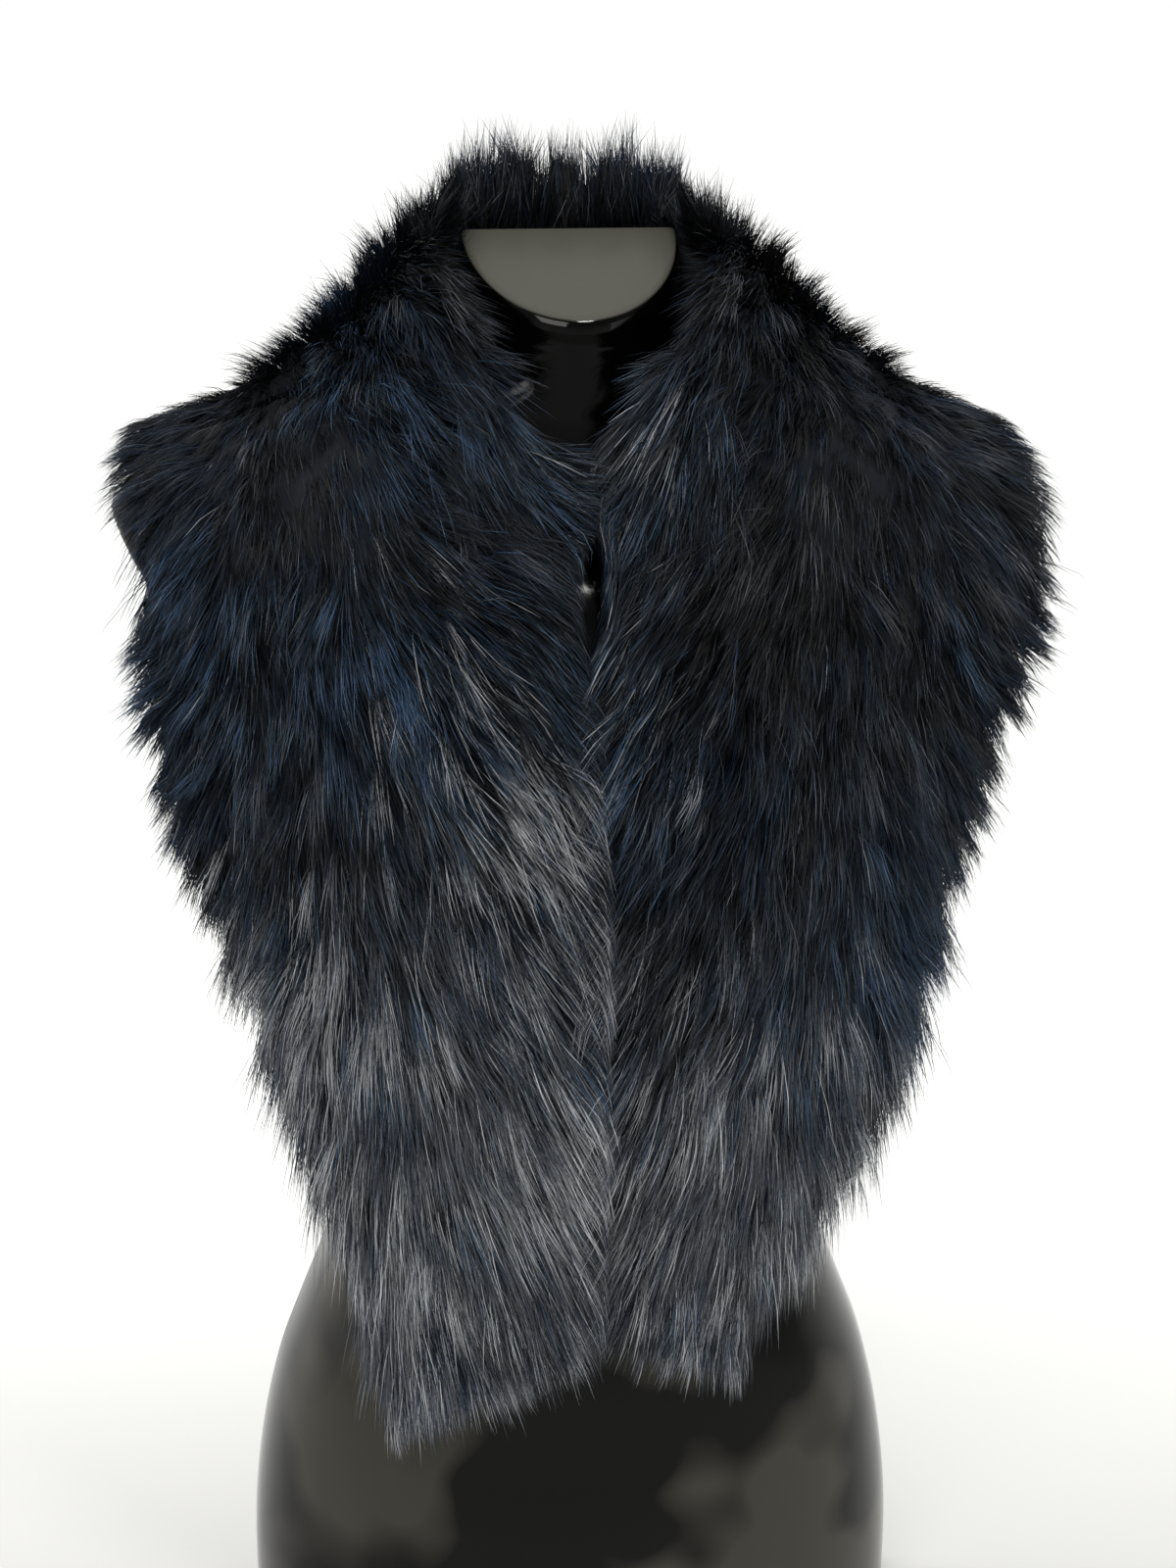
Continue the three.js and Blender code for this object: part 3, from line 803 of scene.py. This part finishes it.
def build_underfur(side, stretch, material):
    """The dense wool that the long hair grows through: a closed body under the tips."""
    start, end = STRETCHES[stretch]
    place = np.linspace(start, end, int((end - start) * UNDERFUR_ROWS_PER_PLACE) + 1)
    over_columns, under_columns = UNDERFUR_COLUMNS
    pelt = pelt_frame(side, place)
    row = pelt["row"]
    length = np.interp(place, *LENGTHS[side])
    share = np.linspace(0, 1, over_columns)
    crown = np.sin(math.pi * np.clip(share, 0.01, 0.99)) ** 0.5
    rings = []
    for k in range(len(place)):
        half, bulge = pelt["half_width"][k], row["bulge"][k]
        inner = -half - row["in_reach"][k] * UNDERFUR_REACH
        outer = half + row["out_reach"][k] * UNDERFUR_REACH
        top = inner + (outer - inner) * share
        field = np.stack([np.full(over_columns, length[k]), top], -1)
        tufts = sum(waves(field, wave, SEED + seed) * size for size, wave, seed in UNDERFUR_TUFTS)
        height = bulge_height(bulge, top, half) + (row["pile"][k] * UNDERFUR_PILE + tufts) * crown
        over = np.stack([top, height], -1)
        back = inner + (outer - inner) * (1 - (np.arange(under_columns) + 0.5) / under_columns)
        low = bulge_height(bulge, back, half) + SKIN_THICKNESS + ROOT_ABOVE_SKIN
        outline = np.concatenate([over, np.stack([back, low], -1)])
        points = pelt["middle"][k] + outline[:, :1] * pelt["across"][k] + outline[:, 1:] * pelt["out"][k]
        out = np.tile(pelt["out"][k], (len(points), 1))
        points = push_clear(points, out, *UNDERFUR_PUSH)
        points[:, 0] = np.maximum(points[:, 0], meeting_x(points, side) + SIDE_GAP)
        rings.append(points)
    rings = np.array(rings)
    rings[..., 0] *= side
    ends = (rings[0].mean(0), rings[-1].mean(0))
    count = rings.shape[0] * rings.shape[1] + len(ends)
    tint = np.tile(np.array(HAIR_COLOURS["black"]) * UNDERFUR_SHADE, (count, 1))
    return closed_loft(f"{stretch}_underfur_{SIDE_NAMES[side]}", rings, ends, material, tint)


def hair_mix(points, chance, grey, behind):
    """Which colour each hair has, by the patches that its root lies in; the steel-blue hairs are painted
    glints.
    """
    weights = {name: np.full(len(points), value) for name, value in COMMON_MIX.items()}
    for row in PATCH_ROWS:
        patch = dict(zip(PATCH_COLUMNS, row))
        dz = points[:, 2] - patch["z"]
        dx = points[:, 0] - patch["x"] - patch["slant"] * dz
        strength = np.exp(-((dx / patch["wide"]) ** 2 + (dz / patch["high"]) ** 2)) * (1 - behind)
        for name in ("navy", "steel_glint", "silver", "brown"):
            weights[name] += patch[name] * strength
    for name, value in GREY_MIX.items():
        weights[name] += value * grey
    drift = {name: waves(points, wave, SEED + seed) for name, (_, wave, seed) in DRIFTS.items()}
    for name, (amount, _, _) in DRIFTS.items():
        weights[name] *= 1 + amount * drift[name]
    # Painted light: hair behind the torso is made lighter where it stands in shade
    for name, value in BACK_LIGHTENING_MIX.items():
        weights[name] += value * behind
    weights["steel_glint"] += BACK_STEEL_GLINT * behind * np.clip(drift["navy"], 0, 1)
    names = list(HAIR_COLOURS)
    table = np.stack([np.maximum(weights[name], LEAST_WEIGHT) for name in names])
    edges = np.cumsum(table / table.sum(0), 0)
    return np.minimum((chance > edges).sum(0), len(names) - 1)


def sow(side, stretch, layer, rng):
    """The roots of one layer on a stretch, spread evenly over the pelt and a little past its edges."""
    start, end = STRETCHES[stretch]
    count = layer[f"{stretch}_count"]
    places, lengths = LENGTHS[side]
    widths = pelt_frame(side, places)["half_width"]
    density = np.where((places >= start) & (places <= end), widths * np.gradient(lengths), 0)
    area = np.cumsum(density)
    place = np.interp(rng.uniform(0, area[-1], count), area, places)
    place = np.clip(place + rng.uniform(-PLACE_JITTER, PLACE_JITTER, count), start, end)
    pelt = pelt_frame(side, place)
    row = pelt["row"]

    spot = rng.uniform(-1 - EDGE_WRAP, 1 + EDGE_WRAP, count)
    share = np.clip(spot, -1, 1)
    wrap = np.clip((np.abs(spot) - 1) / EDGE_WRAP, 0, 1)
    outer_margin = np.interp(place, TAIL_MARGIN_PLACES, (EDGE_MARGIN, TAIL_EDGE_MARGIN))
    margin = np.where(spot < 0, row["in_reach"] * EDGE_MARGIN, row["out_reach"] * outer_margin)
    past_edge = np.sign(spot) * margin * (np.abs(share) ** 3 - WRAP_BACK * wrap)
    across = share * pelt["half_width"] + past_edge
    shoulder = 1 - EDGE_LOWERING * np.abs(share) ** 6
    height = layer["root"] * row["pile"] * shoulder * (1 - wrap)
    height += skin_height(pelt, across) + (SKIN_THICKNESS + ROOT_ABOVE_SKIN) * wrap
    loose = rng.uniform(size=count) < LOOSE_SHARE + LOOSE_AT_EDGE * np.abs(share) ** 4
    point = pelt["middle"] + pelt["across"] * across[:, None] + pelt["out"] * height[:, None]
    point = push_clear(point, pelt["out"], *ROOT_PUSH)
    length = np.interp(place, places, lengths)
    return {"count": count, "place": place, "length": length, "across": across, "share": share,
            "wrap": wrap, "loose": loose, "point": point, "seen": point * np.array([side, 1, 1])}


def greyness(side, root):
    """How grey each hair is, from 0 to 1, and how far behind the torso it grows."""
    high, low = GREY_HEIGHTS[side]
    behind = np.clip((root["seen"][:, 1] - BACK_FROM_Y) / (BACK_FULL_Y - BACK_FROM_Y), 0, 1)
    height = root["seen"][:, 2] + GREY_DROP * np.maximum(root["point"][:, 0] - GREY_DROP_FROM_X, 0)
    return np.clip((high - height) / (high - low), 0, 1) * (1 - behind), behind


def comb(side, layer, pelt, root, small, large, grey, rng):
    """The direction of each hair at its root and at its tip, and its length."""
    share, wrap, place, count = (root[name] for name in ("share", "wrap", "place", "count"))
    lie = {name: np.interp(place, LIE["place"], LIE[name]) for name in LIE_COLUMNS}
    lie["inner"] += np.interp(place, CROSS_PLACES, CROSS_TURN[side])
    edge = np.where(share < 0, -lie["inner"], lie["outer"]) * np.abs(share) ** FAN_POWER
    lay_down = np.abs(share) ** 5 * (EDGE_LAY_DOWN + (1 - EDGE_LAY_DOWN) * wrap)
    field = np.stack([root["length"], root["across"]], -1)
    swirl = sum(degrees * waves(field, wave, SEED + seed) for degrees, wave, seed in SWIRLS)
    tufting = 1 - GREY_TURN_LOSS * grey
    tuft_turn = LARGE_TUFT_TURN * (large["chance"] - 0.5) + SMALL_TUFT_TURN * (small["chance"] - 0.5)
    turn = edge + swirl * tufting + tuft_turn * tufting + rng.normal(0, HAIR_UNEVENNESS, count)
    turn = np.radians(turn)
    stand = lie["lean"] + LARGE_TUFT_STAND * (scatter(large["s"], large["a"], 3) - 0.5)
    stand += rng.normal(0, HAIR_UNEVENNESS, count)
    stand = stand * (1 - lay_down) - WRAP_TURN_UNDER * wrap
    flow = pelt["along"] * np.cos(turn)[:, None] + pelt["across"] * np.sin(turn)[:, None]

    def direction(degrees, sag):
        angle = np.radians(degrees)[:, None]
        leaning = flow * np.cos(angle) + pelt["out"] * np.sin(angle)
        leaning[:, 2] -= sag
        return unit(leaning)

    at_root = direction(stand + ROOT_RISE * (1 - wrap), 0.0)
    at_tip = direction(stand - TIP_FALL * (1 - wrap), lie["sag"])

    shortest, longer = TUFT_LENGTHS
    reach = layer["length"] * lie["length"] * (shortest + longer * small["chance"])
    reach = reach * rng.uniform(*CHANCE_LENGTHS, count)
    full = np.clip(pelt["row"]["pile"] / FULL_PILE, 0, 1)
    by_pile = SHORT_PILE_LENGTH + (1 - SHORT_PILE_LENGTH) * full
    reach *= by_pile * (1 + LOOSE_LENGTHENING * root["loose"])
    trim = COLLAR_TRIM * np.where(root["loose"], LOOSE_TRIM, 1)
    trim_end, trim_full = COLLAR_TRIM_PLACES
    on_collar = np.clip((trim_end - place) / (trim_end - trim_full), 0, 1)
    reach *= 1 - trim * np.clip(-share, 0, 1) ** 2 * on_collar
    reach *= 1 - np.interp(place, OUTER_TRIM_PLACES, OUTER_TRIM) * np.clip(share, 0, 1) ** 2
    if side == LEFT:
        reach = bare_the_end(root["point"], at_root, at_tip, reach, rng)
    return at_root, at_tip, reach


def bare_the_end(point, at_root, at_tip, reach, rng):
    """Shortens the hairs, but for a few, that would reach over the bare end of the shoulder."""
    tip = point + (at_root + at_tip) / 2 * reach[:, None]
    over_end = (tip[:, 2] > BARE_END_FROM_Z) & (tip[:, 2] < BARE_END_TO_Z) & (tip[:, 0] > BARE_END_X)
    over_end &= rng.uniform(size=len(point)) > STRAY_SHARE
    shorter = (BARE_END_X - point[:, 0]) / np.maximum(tip[:, 0] - point[:, 0], 1)
    return np.where(over_end, reach * np.clip(shorter, SHORTEST_AT_END, 1), reach)


def grow(side, stations, pelt, root, small, large, grey, combed):
    """The middle line of each hair: it bends from its root's direction to its tip's, into its tufts."""
    at_root, at_tip, reach = combed

    def towards(tuft):
        along = (tuft["s"] - root["length"])[:, None] * pelt["along"]
        return along + (tuft["a"] - root["across"])[:, None] * pelt["across"]

    to_small, to_large = towards(small), towards(large)
    small_pull, small_power = SMALL_TUFT_PULL
    large_pull, large_power = LARGE_TUFT_PULL
    obeys = ((1 - LOOSE_FREEDOM * root["loose"]) * (1 - GREY_PULL_LOSS * grey))[:, None]
    spine = []
    for t in stations:
        bend = at_root * (t - t * t / 2) + at_tip * (t * t / 2)
        gather = to_small * (small_pull * t ** small_power) + to_large * (large_pull * t ** large_power)
        spine.append(root["point"] + bend * reach[:, None] + gather * obeys)
    spine = np.stack(spine, 1)
    flat = hold_inside(keep_to_side(spine.reshape(-1, 3), side, SIDE_OVERLAP))
    out = np.repeat(pelt["out"], len(stations), axis=0)
    flat = push_clear(flat, out, *HAIR_PUSH)
    flat = push_clear(flat, out, *COLUMN_PUSH, HAIR_COLUMN_TOP)
    return flat.reshape(root["count"], -1, 3)


def ribbons(spine, stations, out, width, rng):
    """The corners of a tapering ribbon round each middle line, two at each station and one at the tip."""
    count = len(spine)
    tangent = unit(spine[:, -2] - spine[:, 0])
    side_way = unit(np.cross(tangent, out) + 1e-6)
    up_way = np.cross(side_way, tangent)
    roll = rng.uniform(-MOST_ROLL, MOST_ROLL, count)[:, None]
    breadth = side_way * np.cos(roll) + up_way * np.sin(roll)
    widening = 1.0
    widths = width * rng.uniform(*CHANCE_WIDTHS, count)[:, None] * widening
    points = []
    for k, t in enumerate(stations[:-1]):
        half = breadth * widths * (1 - TAPER * t) / 2
        points += [spine[:, k] - half, spine[:, k] + half]
    points.append(spine[:, -1])
    return np.stack(points, 1)


def ribbon_faces(count, stations):
    """The faces of the ribbons as one run of corners, and each face's number of corners."""
    per_hair = 2 * stations - 1
    pattern, sizes = [], []
    for k in range(stations - 2):
        pattern += [2 * k, 2 * k + 1, 2 * k + 3, 2 * k + 2]
        sizes.append(4)
    pattern += [per_hair - 3, per_hair - 2, per_hair - 1]
    sizes.append(3)
    base = np.arange(count)[:, None] * per_hair
    return (base + np.array(pattern)).ravel(), np.tile(sizes, count)


def dye(root, small, grey, behind, stations, rng):
    """The colour of each hair at each corner of its ribbon, with painted glints at its tips in the upper
    half.
    """
    count = root["count"]
    by_tuft = rng.uniform(size=count) < TUFT_COLOUR_SHARE
    chance = np.where(by_tuft, small["chance"], rng.uniform(size=count))
    kind = hair_mix(root["seen"], chance, grey, behind)
    colour = np.array(list(HAIR_COLOURS.values()))[kind] * rng.uniform(*CHANCE_SHADES, count)[:, None]
    # Painted light: behind the torso the hair is shaded more evenly and lighter along its length
    evenness = (grey + BACK_LIGHTENING_EVENNESS * behind)[:, None]
    # Painted glints: in the upper half the hairs' tips are painted light
    glint_tip_shade = np.interp(stations, SHADE_STATIONS, GLINT_TIP_SHADES)
    even_shade = np.interp(stations, SHADE_STATIONS, EVEN_SHADES)
    shade = glint_tip_shade * (1 - evenness) + even_shade * evenness
    corners = np.arange(2 * len(stations) - 1) // 2
    return colour[:, None, :] * shade[:, corners, None]


def build_hair(side, stretch, layer, material, rng):
    """One layer of long hair on a stretch of a pelt, each hair a ribbon that leans into a tuft."""
    stations = np.array(layer["stations"])
    root = sow(side, stretch, layer, rng)
    pelt = pelt_frame(side, root["place"])
    small = nearest_tuft(root["length"], root["across"], SMALL_TUFT, SEED)
    large = nearest_tuft(root["length"], root["across"], LARGE_TUFT, SEED + 30)
    grey, behind = greyness(side, root)
    combed = comb(side, layer, pelt, root, small, large, grey, rng)
    spine = grow(side, stations, pelt, root, small, large, grey, combed)
    points = ribbons(spine, stations, pelt["out"], layer["width"], rng)
    tint = dye(root, small, grey, behind, stations, rng)
    points[..., 0] *= side
    loops, sizes = ribbon_faces(root["count"], len(stations))
    name = f"{stretch}_{layer['name']}_{SIDE_NAMES[side]}"
    return mesh_object(name, points.reshape(-1, 3), loops, sizes, material, tint.reshape(-1, 3))


def flat_size(side, stretch):
    """The pelt's cut when it is laid flat: width, length and area, in metres."""
    start, end = STRETCHES[stretch]
    places = np.linspace(start, end, 120)
    pelt = pelt_frame(side, places)
    steps = np.linalg.norm(np.diff(pelt["middle"], axis=0), axis=1) * MM
    widths = 2 * pelt["half_width"] * MM
    area = float(((widths[1:] + widths[:-1]) / 2 * steps).sum())
    return float(widths.max()), float(steps.sum()), area


def build_wrap():
    leather = skin_material()
    # The hair's tint carries its dyed colour and painted glints
    wool = fur_material("dyed_wool_and_glints", 0.6, 0.25)
    guard = fur_material("dyed_guard_hair_and_glints", 0.36, 0.5)
    materials = {"wool": wool, "guard": guard}
    for side in (LEFT, RIGHT):
        for stretch in STRETCHES:
            node = f"{stretch}_fur_{SIDE_NAMES[side]}"
            skin = build_skin(side, stretch, leather)
            fur = [build_underfur(side, stretch, wool)]
            for number, row in enumerate(LAYERS):
                layer = dict(zip(LAYER_COLUMNS, row))
                rng = np.random.default_rng([SEED, side + 1, list(STRETCHES).index(stretch), number])
                fur.append(build_hair(side, stretch, layer, materials[layer["name"]], rng))
            for piece in [skin, *fur]:
                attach(piece, "root")
                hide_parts(node)
            width, length, area = flat_size(side, stretch)


def build_stage():
    """A pale round floor, which glows a little more behind the torso."""
    material, nodes, links, shader = new_material("pale_backdrop")
    material.cycles.emission_sampling = "NONE"
    shader.inputs["Base Color"].default_value = (0.84, 0.84, 0.82, 1)
    shader.inputs["Roughness"].default_value = 0.9
    shader.inputs["Emission Color"].default_value = (1.0, 1.0, 0.985, 1)
    place = nodes.new("ShaderNodeTexCoord")
    axes = nodes.new("ShaderNodeSeparateXYZ")
    links.new(place.outputs["Object"], axes.inputs["Vector"])
    glow = spread(nodes, links, axes.outputs["Y"], -0.3, 0.7, 0.0, 0.86)
    links.new(glow, shader.inputs["Emission Strength"])
    turns = np.linspace(0, 2 * math.pi, FLOOR_SIDES, endpoint=False)
    points = np.array([(r * math.cos(t), r * math.sin(t), 0) for r in FLOOR_RINGS for t in turns])
    quads = grid_faces(len(FLOOR_RINGS), FLOOR_SIDES, True)[:, ::-1]
    backdrop = mesh_object("backdrop", points, quads.ravel(), np.full(len(quads), 4), material)


def aim(obj, place, target):
    """Puts an object at a place and points it at a target, in millimetres from the torso's planes."""
    offset = Vector((MIDDLE_X, BACK_Y, 0))
    obj.location = Vector(place) * MM + offset
    direction = Vector(target) * MM + offset - obj.location
    obj.rotation_euler = direction.to_track_quat("-Z", "Y").to_euler()
    bpy.context.scene.collection.objects.link(obj)


def add_light(name, place, target, size, watts, colour):
    light = bpy.data.lights.new(name, "AREA")
    light.shape = "RECTANGLE"
    light.size, light.size_y = (value * MM for value in size)
    light.energy = watts
    light.color = colour
    aim(bpy.data.objects.new(name, light), place, target)


def build_lights():
    for row in LIGHT_ROWS:
        add_light(**dict(zip(LIGHT_COLUMNS, row)))


def build_world():
    """A soft pale room, brighter behind the torso than in front of it, and darker overhead."""
    world = bpy.data.worlds.new("soft_room")
    bpy.context.scene.world = world
    world.use_nodes = True
    nodes, links = world.node_tree.nodes, world.node_tree.links
    background = nodes["Background"]
    direction = nodes.new("ShaderNodeTexCoord")
    axes = nodes.new("ShaderNodeSeparateXYZ")
    links.new(direction.outputs["Generated"], axes.inputs["Vector"])
    behind = spread(nodes, links, axes.outputs["Y"], -1.0, 0.3, 0.4, 1.05)
    low = spread(nodes, links, axes.outputs["Z"], 0.1, 0.55, 1.0, 0.3)
    links.new(product(nodes, links, behind, low), background.inputs["Strength"])
    background.inputs["Color"].default_value = (1.0, 1.0, 0.99, 1)
    bpy.context.scene.view_settings.view_transform = "Standard"


def build_camera():
    """The photograph's view: 7 degrees left of the front and 16 degrees above it."""
    azimuth, elevation = math.radians(VIEW_AZIMUTH), math.radians(VIEW_ELEVATION)
    level = math.cos(elevation)
    towards_camera = (math.sin(azimuth) * level, -math.cos(azimuth) * level, math.sin(elevation))
    place = [t + VIEW_DISTANCE * step for t, step in zip(VIEW_TARGET, towards_camera)]
    camera = bpy.data.cameras.new("photo_camera")
    camera.lens = LENS
    camera.sensor_width = SENSOR
    obj = bpy.data.objects.new("photo_camera", camera)
    aim(obj, place, VIEW_TARGET)
    bpy.context.scene.camera = obj


build_camera()
build_stage()
build_lights()
build_world()
torso = build_torso(gloss_material())
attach(torso, "root")
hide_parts("display_torso")
build_wrap()
